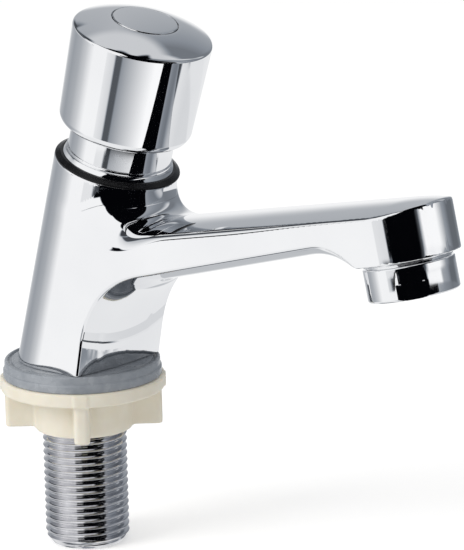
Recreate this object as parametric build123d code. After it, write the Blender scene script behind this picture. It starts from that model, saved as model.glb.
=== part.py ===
from build123d import *
from math import acos, cos, pi, radians, sin, sqrt, tan
import os

os.makedirs("parts", exist_ok=True)

# Self-closing basin tap, in millimetres.
# Origin: centre of the deck plane, on the axis of the threaded tail. +Z is up, +X is towards the spout's tip.

# Tail: a G 1/2 pipe thread, left plain at the crest diameter
TAIL_R = 10.4775
TAIL_LENGTH = 42.8
TAIL_CHAMFER = 1.6
TAIL_BORE_R = 6.5
STUB_R = 9.52
STUB_TOP = 7.9

# Gasket between the body and the deck
GASKET_R = 19.7
GASKET_UPPER_R = 19.3
GASKET_H = 4.2
GASKET_HOLE_R = 10.7

# Wing nut below the deck
NUT_FLANGE_R = 20.35
NUT_FLANGE_H = 3.45
NUT_HUB_R = 12.15
NUT_HUB_BOTTOM = -13.5
NUT_BORE_R = TAIL_R + 0.07
WING_THICKNESS = 3.85
WING_REACH = 19.5
WING_BOTTOM = -13.0
WING_ANGLE = 42.0
RIB_REACH = 20.6

# Valve axis: leans towards the spout, t is the distance along it from AXIS_FOOT at deck height
LEAN = 16.3
AXIS_FOOT = -2.1
COLUMN_R = 15.2
COLUMN_LEAN = 15.6
COLUMN_FOOT = -1.76
BODY_TOP_T = 57.6
BODY_BASE_Z = GASKET_H
CHAMBER_R = 12.0

# Spout: plan is a taper from the column to a round end, side view is a rising bar
WEB_R = 15.2
SPOUT_END_R = 12.7
SPOUT_END_X = 104.6
SPOUT_END_Z = 45.04
SPOUT_END_LEAN = 12.8
FRONT_FOOT = 12.3
FRONT_SLOPE = 0.2
UNDER_EDGE = ((28.0, 31.0), (80.0, 45.35))
TOP_EDGE = ((40.0, 43.4), (100.0, 55.45))
KNEE_R = 25.0
HUMP_R = (14.0, 25.0)
HUMP_FALL = (-0.49, -0.15)
HUMP_FALL_X = (99.7, 92.2)
CROWN = 2.4
BELLY = 2.8
FRONT_BULGE = 1.0
NOSE_R = 57.6
NOSE_X = 109.8
FAR_X = 130.0
NECK_R = 11.4
WEB_INSET = 0.05
NECK_TOP_T = 57.0

# Waterway from the valve chamber to the aerator
WATERWAY_R = 2.75
WATERWAY_START = (15.0, 32.9)
WATERWAY_END = (103.0, 53.1)

# Aerator, v is the distance up its own axis from the spout's lower face
AERATOR_R = 10.78
AERATOR_THREAD_R = 8.5
AERATOR_BORE_R = 7.3
AERATOR_FOOT_V = -8.85
AERATOR_NECK_V = -1.0
AERATOR_TOP_V = 6.5
AERATOR_FLATS = 20.3
AERATOR_FLAT_H = 3.9
AERATOR_FLAT_ANGLE = -50.0

# Cartridge, positions along the valve axis
SEAT_T = 21.0
WEB_THICKNESS = 2.0
PLUG_R = 8.92
PLUG_FOOT_T = 17.0
POCKET_FOOT_T = 11.8
POCKET_R = 6.9
HOUSING_R = 10.0
HOUSING_BORE_R = 8.0
HOUSING_TOP_T = 50.0
HOUSING_FLANGE_R = 11.9
HOUSING_FLANGE_T = 46.0
WINDOW_FOOT_T = 25.0
WINDOW_TOP_T = 31.0
WINDOW_WIDTH = 5.0
WINDOW_COUNT = 4
PISTON_FOOT_T = 37.0
PISTON_TOP_T = 42.0
PISTON_R = 7.93
SPINDLE_R = 3.0
SPINDLE_TOP_T = 86.0
RUNNING_GAP = 0.05
METERING_PIN_R = 0.6
METERING_PIN_OFFSET = 5.2

# Return spring below the piston
SPRING_WIRE = 1.0
SPRING_R = 6.3
SPRING_TURNS = 5.0
SPRING_END_GAP = 0.05

# Bonnet stack on top of the body
SEAL_RING_R = 15.4
SEAL_RING_TOP_R = 14.1
SEAL_RING_H = 1.1
COLLAR_R = 13.6
COLLAR_TOP_R = 13.15
COLLAR_H = 1.2
SLEEVE_R = 12.7
SLEEVE_FLANGE_R = 13.0
SLEEVE_FLANGE_H = 0.8
SLEEVE_TOP_T = 74.0
SLEEVE_BORE_R = 9.95

# Push cap
CAP_FOOT_T = 66.85
CAP_FOOT_R = 16.15
CAP_RIM_T = 92.0
CAP_RIM_R = 17.03
CAP_EDGE_R = 2.4
CAP_LIP_R = 13.05
CAP_CAVITY_R = 14.0
CAP_LIP_TOP_T = 69.2
CAP_PLATE_T = 88.0
INDEX_R = 7.95
INDEX_GAP = 0.22
INDEX_SEAT_T = 92.6
INDEX_EDGE_T = 95.2
INDEX_CROWN = 0.7

# Section radius of the plug O-ring
END_RING_O = 0.6


def tilted_plane(x, z, lean):
    """Plane whose normal leans from +Z towards +X by lean degrees."""
    a = radians(lean)
    return Plane(origin=(x, 0, z), x_dir=(cos(a), 0, -sin(a)), z_dir=(sin(a), 0, cos(a)))


VALVE = tilted_plane(AXIS_FOOT, 0, LEAN)
AERATOR = tilted_plane(SPOUT_END_X, SPOUT_END_Z, -SPOUT_END_LEAN)


def turned(*points):
    """Solid of revolution about local Z from (radius, height) corners."""
    outline = Polyline(*[(r, 0, h) for r, h in points], close=True)
    return revolve(make_face(outline), Axis.Z, 360)


def disc(r, low, high):
    return Pos(0, 0, low) * Cylinder(r, high - low, align=(Align.CENTER, Align.CENTER, Align.MIN))


def ring(r_in, r_out, low, high):
    return turned((r_in, low), (r_out, low), (r_out, high), (r_in, high))


def o_ring(r_middle, r_section, height):
    return Pos(0, 0, height) * Torus(r_middle, r_section)


def around(count, start=0.0):
    return [start + 360 * i / count for i in range(count)]


# Body casting

def half_width(x):
    """Half the spout's width at distance x from the origin, close enough to place its edges."""
    return WEB_R - (WEB_R - SPOUT_END_R) * (x - 5.0) / (SPOUT_END_X - 5.0)


def hull_outline(z):
    """Plan outline at height z: two circles joined by their common tangents."""
    back_x = COLUMN_FOOT + z * tan(radians(COLUMN_LEAN))
    tip_x = SPOUT_END_X - (z - SPOUT_END_Z) * tan(radians(SPOUT_END_LEAN))
    a = acos((WEB_R - SPOUT_END_R) / (tip_x - back_x))
    back = [(back_x + WEB_R * cos(a), s * WEB_R * sin(a), z) for s in (1, -1)]
    tip = [(tip_x + SPOUT_END_R * cos(a), s * SPOUT_END_R * sin(a), z) for s in (1, -1)]
    edges = [
        Line(back[0], tip[0]),
        ThreePointArc(tip[0], (tip_x + SPOUT_END_R, 0, z), tip[1]),
        Line(tip[1], back[1]),
        ThreePointArc(back[1], (back_x - WEB_R, 0, z), back[0]),
    ]
    return make_face(edges)


def crossing(point_a, slope_a, point_b, slope_b):
    """Where two lines in the side view meet, each a point and a rise per unit of x."""
    x = (point_b[1] - point_a[1] + slope_a * point_a[0] - slope_b * point_b[0]) / (slope_a - slope_b)
    return x, point_a[1] + slope_a * (x - point_a[0])


def bulged_line(edge, bulge, y):
    """A long edge of the spout moved to distance y from the middle plane, where the face bulges."""
    (x0, z0), (x1, z1) = [(x, z + bulge * (1 - (y / half_width(x)) ** 2)) for x, z in edge]
    return (x0, z0), (z1 - z0) / (x1 - x0)


def rounded_outline(y, corners, rounds):
    """Closed outline of (x, z) corners in the plane at distance y, with some corners rounded."""
    outline = make_face(Plane.XZ.offset(-y) * Polyline(*corners, close=True))
    for corner, radius in rounds:
        nearest = outline.vertices().sort_by_distance((corner[0], y, corner[1]))[0]
        outline = fillet(nearest, radius)
    return outline


def front_and_knee(y):
    """The front's foot, the knee below the spout, and the line that the underside follows."""
    across = 1 - (y / WEB_R) ** 2
    front = (FRONT_FOOT + FRONT_BULGE * across, BODY_BASE_Z)
    under, under_slope = bulged_line(UNDER_EDGE, -BELLY, y)
    return front, crossing(front, 1 / FRONT_SLOPE, under, under_slope), under, under_slope


def spout_outline(y):
    """Side view of the front web and the spout, down to the aerator's seat."""
    front, knee, under, under_slope = front_and_knee(y)
    top, top_slope = bulged_line(TOP_EDGE, CROWN, y)
    seat_slope = tan(radians(SPOUT_END_LEAN))
    near_tip = 1 - (y / SPOUT_END_R) ** 2
    pairs = (HUMP_FALL_X, HUMP_FALL, HUMP_R)
    fall_x, fall, hump_r = [side + (middle - side) * near_tip for side, middle in pairs]
    fall_end = (fall_x, SPOUT_END_Z + (fall_x - SPOUT_END_X) * seat_slope)
    hump = crossing(under, under_slope, fall_end, fall)
    nose = (NOSE_X, top[1] + top_slope * (NOSE_X - top[0]))
    corners = [
        (-5.0, BODY_BASE_Z),
        front,
        knee,
        hump,
        fall_end,
        (FAR_X, SPOUT_END_Z + (FAR_X - SPOUT_END_X) * seat_slope),
        (FAR_X, nose[1]),
        nose,
        (-5.0, top[1] - top_slope * (top[0] + 5.0)),
    ]
    return rounded_outline(y, corners, ((knee, KNEE_R), (hump, hump_r), (nose, NOSE_R)))


def column_limit(y):
    """Everything behind the front and above the knee, so the round column stays inside the web."""
    front, knee, under, under_slope = front_and_knee(y)
    far = (FAR_X, under[1] + under_slope * (FAR_X - under[0]))
    corners = [(-FAR_X, BODY_BASE_Z), front, knee, far, (FAR_X, FAR_X), (-FAR_X, FAR_X)]
    return rounded_outline(y, corners, ((knee, KNEE_R),))


def across_spout(outline):
    """Solid through three side views: one in the middle plane and one beyond each side."""
    half = WEB_R + 1.5
    return loft([outline(y) for y in (-half, 0.0, half)])


def neck_flare():
    """Hollow-sided flare that carries the column's front into the spout's top."""
    foot_t = NECK_TOP_T - NECK_R
    wide_r = COLUMN_R + NECK_R
    middle = (wide_r - NECK_R * cos(pi / 4), 0, foot_t + NECK_R * (1 - sin(pi / 4)))
    outline = [
        Polyline((COLUMN_R, 0, NECK_TOP_T), (0, 0, NECK_TOP_T), (0, 0, foot_t), (wide_r, 0, foot_t)),
        ThreePointArc((wide_r, 0, foot_t), middle, (COLUMN_R, 0, NECK_TOP_T)),
    ]
    return revolve(make_face(outline), Axis.Z, 360)


def outer_shape():
    lean = tilted_plane(COLUMN_FOOT, 0, COLUMN_LEAN)
    plan = loft([hull_outline(-10.0), hull_outline(90.0)], ruled=True)
    spout = plan & across_spout(spout_outline)
    neck = plan & (lean * neck_flare())
    above = VALVE * Pos(0, 0, BODY_TOP_T + 50) * Box(200, 200, 100)
    column = lean * disc(COLUMN_R, -20, BODY_TOP_T + 10)
    column = column & (Pos(-WEB_INSET, 0, 0) * across_spout(column_limit))
    return column - above + neck + spout


def waterways():
    chamber = turned(
        (0, POCKET_FOOT_T), (POCKET_R, POCKET_FOOT_T), (POCKET_R, PLUG_FOOT_T),
        (PLUG_R + 0.08, PLUG_FOOT_T), (PLUG_R + 0.08, SEAT_T), (CHAMBER_R, SEAT_T),
        (CHAMBER_R, BODY_TOP_T + 5), (0, BODY_TOP_T + 5),
    )
    stub_hole = disc(STUB_R + 0.08, BODY_BASE_Z - 1, STUB_TOP + 1.1)
    riser = disc(6.0, STUB_TOP, 14.0)
    start = Vector(WATERWAY_START[0], 0, WATERWAY_START[1])
    end = Vector(WATERWAY_END[0], 0, WATERWAY_END[1])
    run = Plane(origin=start, z_dir=end - start) * disc(WATERWAY_R, 0, (end - start).length)
    outlet = AERATOR * turned(
        (0, -2), (AERATOR_THREAD_R + 0.1, -2), (AERATOR_THREAD_R + 0.1, AERATOR_TOP_V + 1.6),
        (6.4, AERATOR_TOP_V + 2.6), (0, AERATOR_TOP_V + 2.6),
    )
    return [VALVE * chamber, stub_hole, riser, run, outlet]


def body():
    casting = outer_shape()
    for hollow in waterways():
        casting = casting - hollow
    return casting


# Supply side

def threaded_tail():
    core = turned(
        (TAIL_BORE_R, -TAIL_LENGTH), (TAIL_R - TAIL_CHAMFER, -TAIL_LENGTH),
        (TAIL_R, -TAIL_LENGTH + TAIL_CHAMFER), (TAIL_R, BODY_BASE_Z - 0.05),
        (STUB_R, BODY_BASE_Z - 0.05), (STUB_R, STUB_TOP), (7.2, STUB_TOP),
        (7.2, 5.6), (TAIL_BORE_R, 5.6),
    )
    return core


def tail_o_ring():
    return o_ring(8.6, 0.5, STUB_TOP + 0.55)


def inlet_filter():
    rim = ring(6.3, 7.1, 5.65, 7.8)
    plate = disc(6.4, 5.65, 6.35)
    holes = [Pos(0, 0, 5) * disc(0.55, 0, 3)]
    for reach, count in ((1.9, 6), (3.7, 12), (5.2, 18)):
        holes += [Rot(0, 0, a) * Pos(reach, 0, 5) * disc(0.45, 0, 3) for a in around(count)]
    return rim + plate - holes


def base_gasket():
    top = GASKET_H
    return turned(
        (GASKET_HOLE_R, 0), (GASKET_R, 0), (GASKET_R, 2.0), (GASKET_UPPER_R, 2.2),
        (GASKET_UPPER_R, top - 0.3),
        (GASKET_UPPER_R - 0.3, top), (18.5, top), (18.3, top - 0.5), (17.7, top - 0.5), (17.5, top),
        (GASKET_HOLE_R, top),
    )


def back_nut():
    shell = turned(
        (NUT_BORE_R, 0), (NUT_FLANGE_R, 0), (NUT_FLANGE_R, -NUT_FLANGE_H),
        (NUT_HUB_R + 0.5, -NUT_FLANGE_H),
        (NUT_HUB_R, -NUT_FLANGE_H - 0.5), (NUT_HUB_R, NUT_HUB_BOTTOM), (NUT_BORE_R, NUT_HUB_BOTTOM),
    )
    inner = NUT_BORE_R + 0.6
    wing = Pos((inner + WING_REACH) / 2, 0, -1) * Box(
        WING_REACH - inner, WING_THICKNESS, -WING_BOTTOM - 1, align=(Align.CENTER, Align.CENTER, Align.MAX))
    wing = fillet(wing.edges().filter_by(Axis.Z).group_by(Axis.X)[-1], 1.2)
    rib = Pos((inner + RIB_REACH) / 2, 0, 0) * Box(
        RIB_REACH - inner, WING_THICKNESS, NUT_FLANGE_H, align=(Align.CENTER, Align.CENTER, Align.MAX))
    for a in around(4, WING_ANGLE):
        shell = shell + Rot(0, 0, a) * (wing + rib)
    return shell


# Cartridge

def cartridge_housing():
    wall = turned(
        (POCKET_R, PLUG_FOOT_T), (PLUG_R, PLUG_FOOT_T), (PLUG_R, 18.2), (7.7, 18.2), (7.7, 19.8),
        (PLUG_R, 19.8), (PLUG_R, SEAT_T), (HOUSING_R, SEAT_T), (HOUSING_R, HOUSING_FLANGE_T),
        (HOUSING_FLANGE_R, HOUSING_FLANGE_T),
        (HOUSING_FLANGE_R, 47.2), (10.6, 47.2), (10.6, 48.8), (HOUSING_FLANGE_R, 48.8),
        (HOUSING_FLANGE_R, HOUSING_TOP_T), (HOUSING_BORE_R, HOUSING_TOP_T),
        (HOUSING_BORE_R, SEAT_T + WEB_THICKNESS), (4.5, SEAT_T + WEB_THICKNESS), (4.5, SEAT_T),
        (POCKET_R, SEAT_T),
    )
    window = Box(6, WINDOW_WIDTH, WINDOW_TOP_T - WINDOW_FOOT_T)
    window = Pos(9, 0, (WINDOW_FOOT_T + WINDOW_TOP_T) / 2) * window
    return wall - [Rot(0, 0, a) * window for a in around(WINDOW_COUNT, 45)]


def plug_o_ring():
    return o_ring(8.33, END_RING_O, 19.0)


def housing_o_ring():
    return o_ring(11.28, 0.64, 48.0)


def cartridge_head():
    head = turned(
        (SPINDLE_R + RUNNING_GAP, 46.0), (HOUSING_BORE_R - 0.03, 46.0),
        (HOUSING_BORE_R - 0.03, HOUSING_TOP_T),
        (9.8, HOUSING_TOP_T), (9.8, 53.0), (SPINDLE_R + RUNNING_GAP, 53.0), (SPINDLE_R + RUNNING_GAP, 52.2),
        (4.3, 52.2), (4.3, 50.8), (SPINDLE_R + RUNNING_GAP, 50.8),
    )
    socket = Pos(0, METERING_PIN_OFFSET, 45) * Cylinder(
        METERING_PIN_R + 0.01, 4, align=(Align.CENTER, Align.CENTER, Align.MIN))
    return head - socket


def metering_pin():
    return Pos(0, METERING_PIN_OFFSET, 33.0) * Cylinder(
        METERING_PIN_R, 15.95, align=(Align.CENTER, Align.CENTER, Align.MIN))


def spindle_o_ring():
    return o_ring(SPINDLE_R + 0.68, END_RING_O, 51.5)


def piston():
    blank = turned(
        (SPINDLE_R + RUNNING_GAP, PISTON_FOOT_T), (PISTON_R, PISTON_FOOT_T), (PISTON_R, 38.5), (6.6, 38.5),
        (6.6, 40.5), (PISTON_R, 40.5), (PISTON_R, PISTON_TOP_T), (SPINDLE_R + RUNNING_GAP, PISTON_TOP_T),
    )
    orifice = Pos(0, METERING_PIN_OFFSET, 36) * Cylinder(
        METERING_PIN_R + 0.07, 8, align=(Align.CENTER, Align.CENTER, Align.MIN))
    return blank - orifice


def piston_lip_seal():
    return turned(
        (6.65, 38.55), (7.6, 38.55), (7.95, 40.0), (7.95, 40.45), (7.5, 40.45), (7.2, 39.4), (6.65, 39.4))


def return_spring():
    """One unbroken helix from the housing's web up to the piston."""
    low = SEAT_T + WEB_THICKNESS + SPRING_WIRE / 2 + SPRING_END_GAP
    high = PISTON_FOOT_T - SPRING_WIRE / 2 - SPRING_END_GAP
    pitch = (high - low) / SPRING_TURNS
    path = Pos(0, 0, low) * Helix(pitch, high - low, SPRING_R)
    section = Plane(origin=path @ 0, z_dir=path % 0) * Circle(SPRING_WIRE / 2)
    climb = sqrt(1 + (pitch / (2 * pi * SPRING_R)) ** 2)
    print("return spring: gap between curls", round(pitch / climb - SPRING_WIRE, 2), "mm")
    return sweep(section, path=path, is_frenet=True)


def spindle():
    rod = turned(
        (0, 18.0), (5.5, 18.0), (5.5, 19.45), (2.5, 19.45), (2.5, SEAT_T + 0.05),
        (SPINDLE_R, SEAT_T + 0.05), (SPINDLE_R, PISTON_FOOT_T - 1.2), (4.0, PISTON_FOOT_T - 1.2),
        (4.0, PISTON_FOOT_T - 0.05),
        (SPINDLE_R, PISTON_FOOT_T - 0.05), (SPINDLE_R, PISTON_TOP_T + 0.05), (2.6, PISTON_TOP_T + 0.05),
        (2.6, PISTON_TOP_T + 0.85), (SPINDLE_R, PISTON_TOP_T + 0.85), (SPINDLE_R, SPINDLE_TOP_T),
        (2.02, SPINDLE_TOP_T), (2.02, 75.5), (0, 75.5),
    )
    return rod


def valve_washer():
    return ring(2.55, 6.3, 19.5, SEAT_T - 0.02)


def spindle_clip():
    clip = ring(2.65, 4.6, PISTON_TOP_T + 0.07, PISTON_TOP_T + 0.83)
    return clip - Pos(4, 0, PISTON_TOP_T) * Box(6, 2.4, 4)


# Bonnet stack

def bonnet_seal():
    high = BODY_TOP_T + SEAL_RING_H
    return turned(
        (CHAMBER_R + 0.1, BODY_TOP_T), (SEAL_RING_R, BODY_TOP_T), (SEAL_RING_R, BODY_TOP_T + 0.3),
        (SEAL_RING_TOP_R, high), (CHAMBER_R + 0.1, high),
    )


def bonnet_collar():
    low = BODY_TOP_T + SEAL_RING_H
    high = low + COLLAR_H
    return turned(
        (CHAMBER_R + 0.1, low), (COLLAR_R, low), (COLLAR_R, low + 0.15), (COLLAR_TOP_R, high),
        (CHAMBER_R + 0.1, high),
    )


def bonnet_sleeve():
    low = BODY_TOP_T + SEAL_RING_H + COLLAR_H
    high = low + SLEEVE_FLANGE_H
    return turned(
        (SLEEVE_BORE_R, HOUSING_TOP_T), (CHAMBER_R - 0.06, HOUSING_TOP_T), (CHAMBER_R - 0.06, low),
        (SLEEVE_FLANGE_R, low), (SLEEVE_FLANGE_R, high - 0.2), (SLEEVE_FLANGE_R - 0.2, high),
        (SLEEVE_R, high),
        (SLEEVE_R, SLEEVE_TOP_T - 0.5), (SLEEVE_R - 0.5, SLEEVE_TOP_T), (SLEEVE_BORE_R, SLEEVE_TOP_T),
    )


# Push cap

def dome_arc(r_in, t_in, r_out, t_out):
    """Arc of a domed top between two radii, level at the axis."""
    centre_t = (r_out ** 2 + t_out ** 2 - r_in ** 2 - t_in ** 2) / (2 * (t_out - t_in))
    radius = sqrt(r_in ** 2 + (t_in - centre_t) ** 2)
    middle_r = (r_in + r_out) / 2
    middle_t = centre_t + sqrt(radius ** 2 - middle_r ** 2)
    return ThreePointArc((r_in, 0, t_in), (middle_r, 0, middle_t), (r_out, 0, t_out))


def push_cap():
    taper = (CAP_RIM_R - CAP_FOOT_R) / (CAP_RIM_T - CAP_FOOT_T)
    side_foot = (CAP_FOOT_R + taper * CAP_EDGE_R, 0, CAP_FOOT_T + CAP_EDGE_R)
    foot_end = (CAP_FOOT_R - CAP_EDGE_R, 0, CAP_FOOT_T)
    edge_mid_r = CAP_FOOT_R - CAP_EDGE_R * (1 - sin(pi / 4)) + 0.04
    edge_mid = (edge_mid_r, 0, CAP_FOOT_T + CAP_EDGE_R * (1 - cos(pi / 4)))
    recess = INDEX_R + INDEX_GAP
    outline = [
        Line((CAP_LIP_R, 0, CAP_FOOT_T), foot_end),
        ThreePointArc(foot_end, edge_mid, side_foot),
        Line(side_foot, (CAP_RIM_R, 0, CAP_RIM_T)),
        dome_arc(recess, INDEX_EDGE_T, CAP_RIM_R, CAP_RIM_T),
        Polyline((recess, 0, INDEX_EDGE_T), (recess, 0, INDEX_SEAT_T), (4.6, 0, INDEX_SEAT_T),
                 (4.6, 0, 89.3), (2.15, 0, 89.3), (2.15, 0, SPINDLE_TOP_T + 0.1),
                 (SPINDLE_R + 0.03, 0, SPINDLE_TOP_T + 0.1), (SPINDLE_R + 0.03, 0, 78.0), (5.5, 0, 78.0),
                 (5.5, 0, CAP_PLATE_T), (CAP_CAVITY_R, 0, CAP_PLATE_T),
                 (CAP_CAVITY_R, 0, CAP_LIP_TOP_T), (CAP_LIP_R, 0, CAP_LIP_TOP_T),
                 (CAP_LIP_R, 0, CAP_FOOT_T)),
    ]
    return revolve(make_face(outline), Axis.Z, 360)


def index_cap():
    low = INDEX_SEAT_T + 0.03
    top = INDEX_EDGE_T + INDEX_CROWN
    edge = INDEX_EDGE_T + 0.1
    outline = [
        dome_arc(0, top, INDEX_R, edge),
        Polyline((INDEX_R, 0, edge), (INDEX_R, 0, low), (6.6, 0, low), (6.6, 0, low + 0.9),
                 (0, 0, low + 0.9), (0, 0, top)),
    ]
    return revolve(make_face(outline), Axis.Z, 360)


def cap_screw():
    screw = turned(
        (0, 76.5), (1.97, 76.5), (1.97, 89.33), (3.9, 89.33), (3.9, 91.3), (3.4, 91.8), (0, 91.8))
    socket = extrude(Pos(0, 0, 90.0) * RegularPolygon(1.7, 6), 3)
    return screw - socket


# Aerator

def aerator_housing():
    shell = turned(
        (6.6, AERATOR_FOOT_V), (AERATOR_R - 0.7, AERATOR_FOOT_V), (AERATOR_R, AERATOR_FOOT_V + 0.7),
        (AERATOR_R, AERATOR_NECK_V - 0.3), (AERATOR_R - 0.3, AERATOR_NECK_V), (10.1, AERATOR_NECK_V),
        (10.1, -0.7), (10.5, -0.7), (10.5, -0.4), (10.1, -0.4), (10.1, -0.03),
        (AERATOR_THREAD_R, -0.03), (AERATOR_THREAD_R, AERATOR_TOP_V), (AERATOR_BORE_R, AERATOR_TOP_V),
        (AERATOR_BORE_R, AERATOR_FOOT_V + 1.0), (6.6, AERATOR_FOOT_V + 1.0),
    )
    flat = Pos(0, AERATOR_FLATS / 2, AERATOR_FOOT_V) * Box(
        30, 10, AERATOR_FLAT_H, align=(Align.CENTER, Align.MIN, Align.MIN))
    return shell - [Rot(0, 0, a) * flat for a in around(2, AERATOR_FLAT_ANGLE - 90)]


def aerator_washer():
    return ring(6.5, 8.4, AERATOR_TOP_V + 0.02, AERATOR_TOP_V + 1.5)


def aerator_core():
    core = turned((0, -5.9), (7.2, -5.9), (7.2, 5.4), (6.2, 5.4), (6.2, 2.0), (0, 2.0))
    holes = []
    for reach, count in ((2.2, 6), (4.4, 12)):
        holes += [Rot(0, 0, a) * Pos(reach, 0, -7) * disc(0.5, 0, 12) for a in around(count)]
    return core - holes


def aerator_screen():
    sheet = disc(7.2, AERATOR_FOOT_V + 1.05, -6.0)
    holes = []
    for reach, count in ((0.0, 1), (1.5, 6), (3.0, 12), (4.5, 18), (6.0, 24)):
        holes += [Rot(0, 0, a) * Pos(reach, 0, -9) * disc(0.5, 0, 4) for a in around(count)]
    return sheet - holes


VALVE_PARTS = {
    "cartridge_housing": cartridge_housing, "plug_o_ring": plug_o_ring, "housing_o_ring": housing_o_ring,
    "cartridge_head": cartridge_head, "metering_pin": metering_pin, "spindle_o_ring": spindle_o_ring,
    "piston": piston, "piston_lip_seal": piston_lip_seal, "return_spring": return_spring, "spindle": spindle,
    "valve_washer": valve_washer, "spindle_clip": spindle_clip, "bonnet_seal": bonnet_seal,
    "bonnet_collar": bonnet_collar, "bonnet_sleeve": bonnet_sleeve, "push_cap": push_cap,
    "index_cap": index_cap, "cap_screw": cap_screw,
}
AERATOR_PARTS = {
    "aerator_housing": aerator_housing, "aerator_washer": aerator_washer, "aerator_core": aerator_core,
    "aerator_screen": aerator_screen,
}
DECK_PARTS = {
    "body": body, "threaded_tail": threaded_tail, "tail_o_ring": tail_o_ring, "inlet_filter": inlet_filter,
    "base_gasket": base_gasket, "back_nut": back_nut,
}

for name, make in DECK_PARTS.items():
    export_step(make(), f"parts/{name}.step")
for name, make in VALVE_PARTS.items():
    export_step(VALVE * make(), f"parts/{name}.step")
for name, make in AERATOR_PARTS.items():
    export_step(AERATOR * make(), f"parts/{name}.step")
print("pieces:", len(DECK_PARTS) + len(VALVE_PARTS) + len(AERATOR_PARTS))
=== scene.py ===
# %% [markdown]
# # A self-closing basin tap
# The tap is chrome plated brass: a leaning column with a spout cast in one with it, and a large push cap on
# top. Below the basin it has a threaded tail with a plastic wing nut, and a rubber gasket seals it to the
# basin.
# Chrome shows the room around it. This lesson therefore spends its effort on two things: surfaces that are
# smooth enough to mirror a room cleanly, and a studio worth mirroring.

# %% Load the solid model as a fixed frame
from math import cos, pi, radians, sin, sqrt, tan

import bmesh
import bpy
import numpy as np
from mathutils import Matrix, Vector


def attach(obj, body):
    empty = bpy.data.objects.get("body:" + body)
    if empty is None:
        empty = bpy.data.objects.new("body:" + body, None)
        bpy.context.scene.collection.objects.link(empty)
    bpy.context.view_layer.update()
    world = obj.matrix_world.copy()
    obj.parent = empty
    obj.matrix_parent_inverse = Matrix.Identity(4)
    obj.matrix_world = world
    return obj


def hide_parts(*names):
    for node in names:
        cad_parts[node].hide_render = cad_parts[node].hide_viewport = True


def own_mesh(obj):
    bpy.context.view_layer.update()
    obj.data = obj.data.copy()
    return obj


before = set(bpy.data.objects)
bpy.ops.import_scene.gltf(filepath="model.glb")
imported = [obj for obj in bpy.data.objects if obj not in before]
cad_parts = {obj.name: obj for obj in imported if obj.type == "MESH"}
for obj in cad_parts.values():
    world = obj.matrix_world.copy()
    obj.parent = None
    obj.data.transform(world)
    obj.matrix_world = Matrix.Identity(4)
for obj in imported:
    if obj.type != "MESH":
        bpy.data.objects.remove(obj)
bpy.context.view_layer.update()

# %% [markdown]
# The tap has three axes. The tail stands upright at the origin. The valve leans towards the spout, and the
# aerator under the spout's tip leans back a little. Each turned part is drawn upright in millimetres,
# as radius and height, and one matrix puts it on its own axis. The sizes repeat those of the solid model.

# %% The three axes
MM = 0.001
VALVE_LEAN = 16.3
VALVE_FOOT_X = -2.1
AERATOR_LEAN = 12.8
AERATOR_X = 104.6
AERATOR_Z = 45.04


def axis_place(x, z, lean):
    """Matrix from millimetres on an axis, leaning from +Z towards +X, to metres in the frame."""
    return Matrix.Scale(MM, 4) @ Matrix.Translation((x, 0, z)) @ Matrix.Rotation(radians(lean), 4, "Y")


ON_TAIL = axis_place(0, 0, 0)
ON_VALVE = axis_place(VALVE_FOOT_X, 0, VALVE_LEAN)
ON_AERATOR = axis_place(AERATOR_X, AERATOR_Z, -AERATOR_LEAN)
VALVE_UP = Vector((sin(radians(VALVE_LEAN)), 0, cos(radians(VALVE_LEAN))))
print("valve axis:", [round(c, 4) for c in VALVE_UP])

# %% [markdown]
# Most parts are turned on a lathe or moulded in a round mould, so one helper does the work of the lathe.
# It fills the outline as a flat face, rounds the corners with a vertex bevel, and spins the outline's edges.
# No real edge is perfectly sharp, and on chrome that matters: the small round at an edge is the thin bright
# line that says metal. Each corner therefore carries its own rounding in millimetres.

# %% The lathe
STEPS = 192


def round_corners(bm, corners, verts):
    """Rounds the outline's corners, one vertex bevel for each size of rounding."""
    for size in sorted({c[2] for c in corners if len(c) > 2}):
        chosen = [v for v, c in zip(verts, corners) if len(c) > 2 and c[2] == size]
        bmesh.ops.bevel(bm, geom=chosen, affect="VERTICES", offset_type="OFFSET", offset=size,
                        segments=5, profile=0.5, material=-1)


def turned_mesh(corners, steps=STEPS):
    """A closed turned solid from (radius, height) or (radius, height, rounding) corners, in millimetres."""
    bm = bmesh.new()
    verts = [bm.verts.new((c[0], 0, c[1])) for c in corners]
    bm.faces.new(verts)
    round_corners(bm, corners, verts)
    bmesh.ops.delete(bm, geom=[f for f in bm.faces], context="FACES_ONLY")
    on_axis = [e for e in bm.edges if all(abs(v.co.x) < 1e-6 for v in e.verts)]
    bmesh.ops.delete(bm, geom=on_axis, context="EDGES")
    bmesh.ops.spin(bm, geom=bm.verts[:] + bm.edges[:], cent=(0, 0, 0), axis=(0, 0, 1), dvec=(0, 0, 0),
                   angle=2 * pi, steps=steps, use_merge=True, use_duplicate=False)
    bmesh.ops.remove_doubles(bm, verts=bm.verts[:], dist=1e-5)
    bmesh.ops.recalc_face_normals(bm, faces=bm.faces[:])
    return bm


def arc_between(start, end, centre, count):
    """Points from start to end on an arc about centre, without the two ends."""
    a0 = np.arctan2(start[1] - centre[1], start[0] - centre[0])
    a1 = np.arctan2(end[1] - centre[1], end[0] - centre[0])
    radius = sqrt((start[0] - centre[0]) ** 2 + (start[1] - centre[1]) ** 2)
    turns = [a0 + (a1 - a0) * (i + 1) / (count + 1) for i in range(count)]
    return [(centre[0] + radius * cos(a), centre[1] + radius * sin(a)) for a in turns]


# %% [markdown]
# A finished piece has its place in its mesh, so its object stays at the origin. Smooth shading makes round
# faces look round. On its own it also bends the light near every bevel, so a Weighted Normal modifier lets
# the large faces decide how the light turns, and edges sharper than 40 degrees stay crisp.

# %% Finish a piece
SHARP = radians(40)


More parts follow.
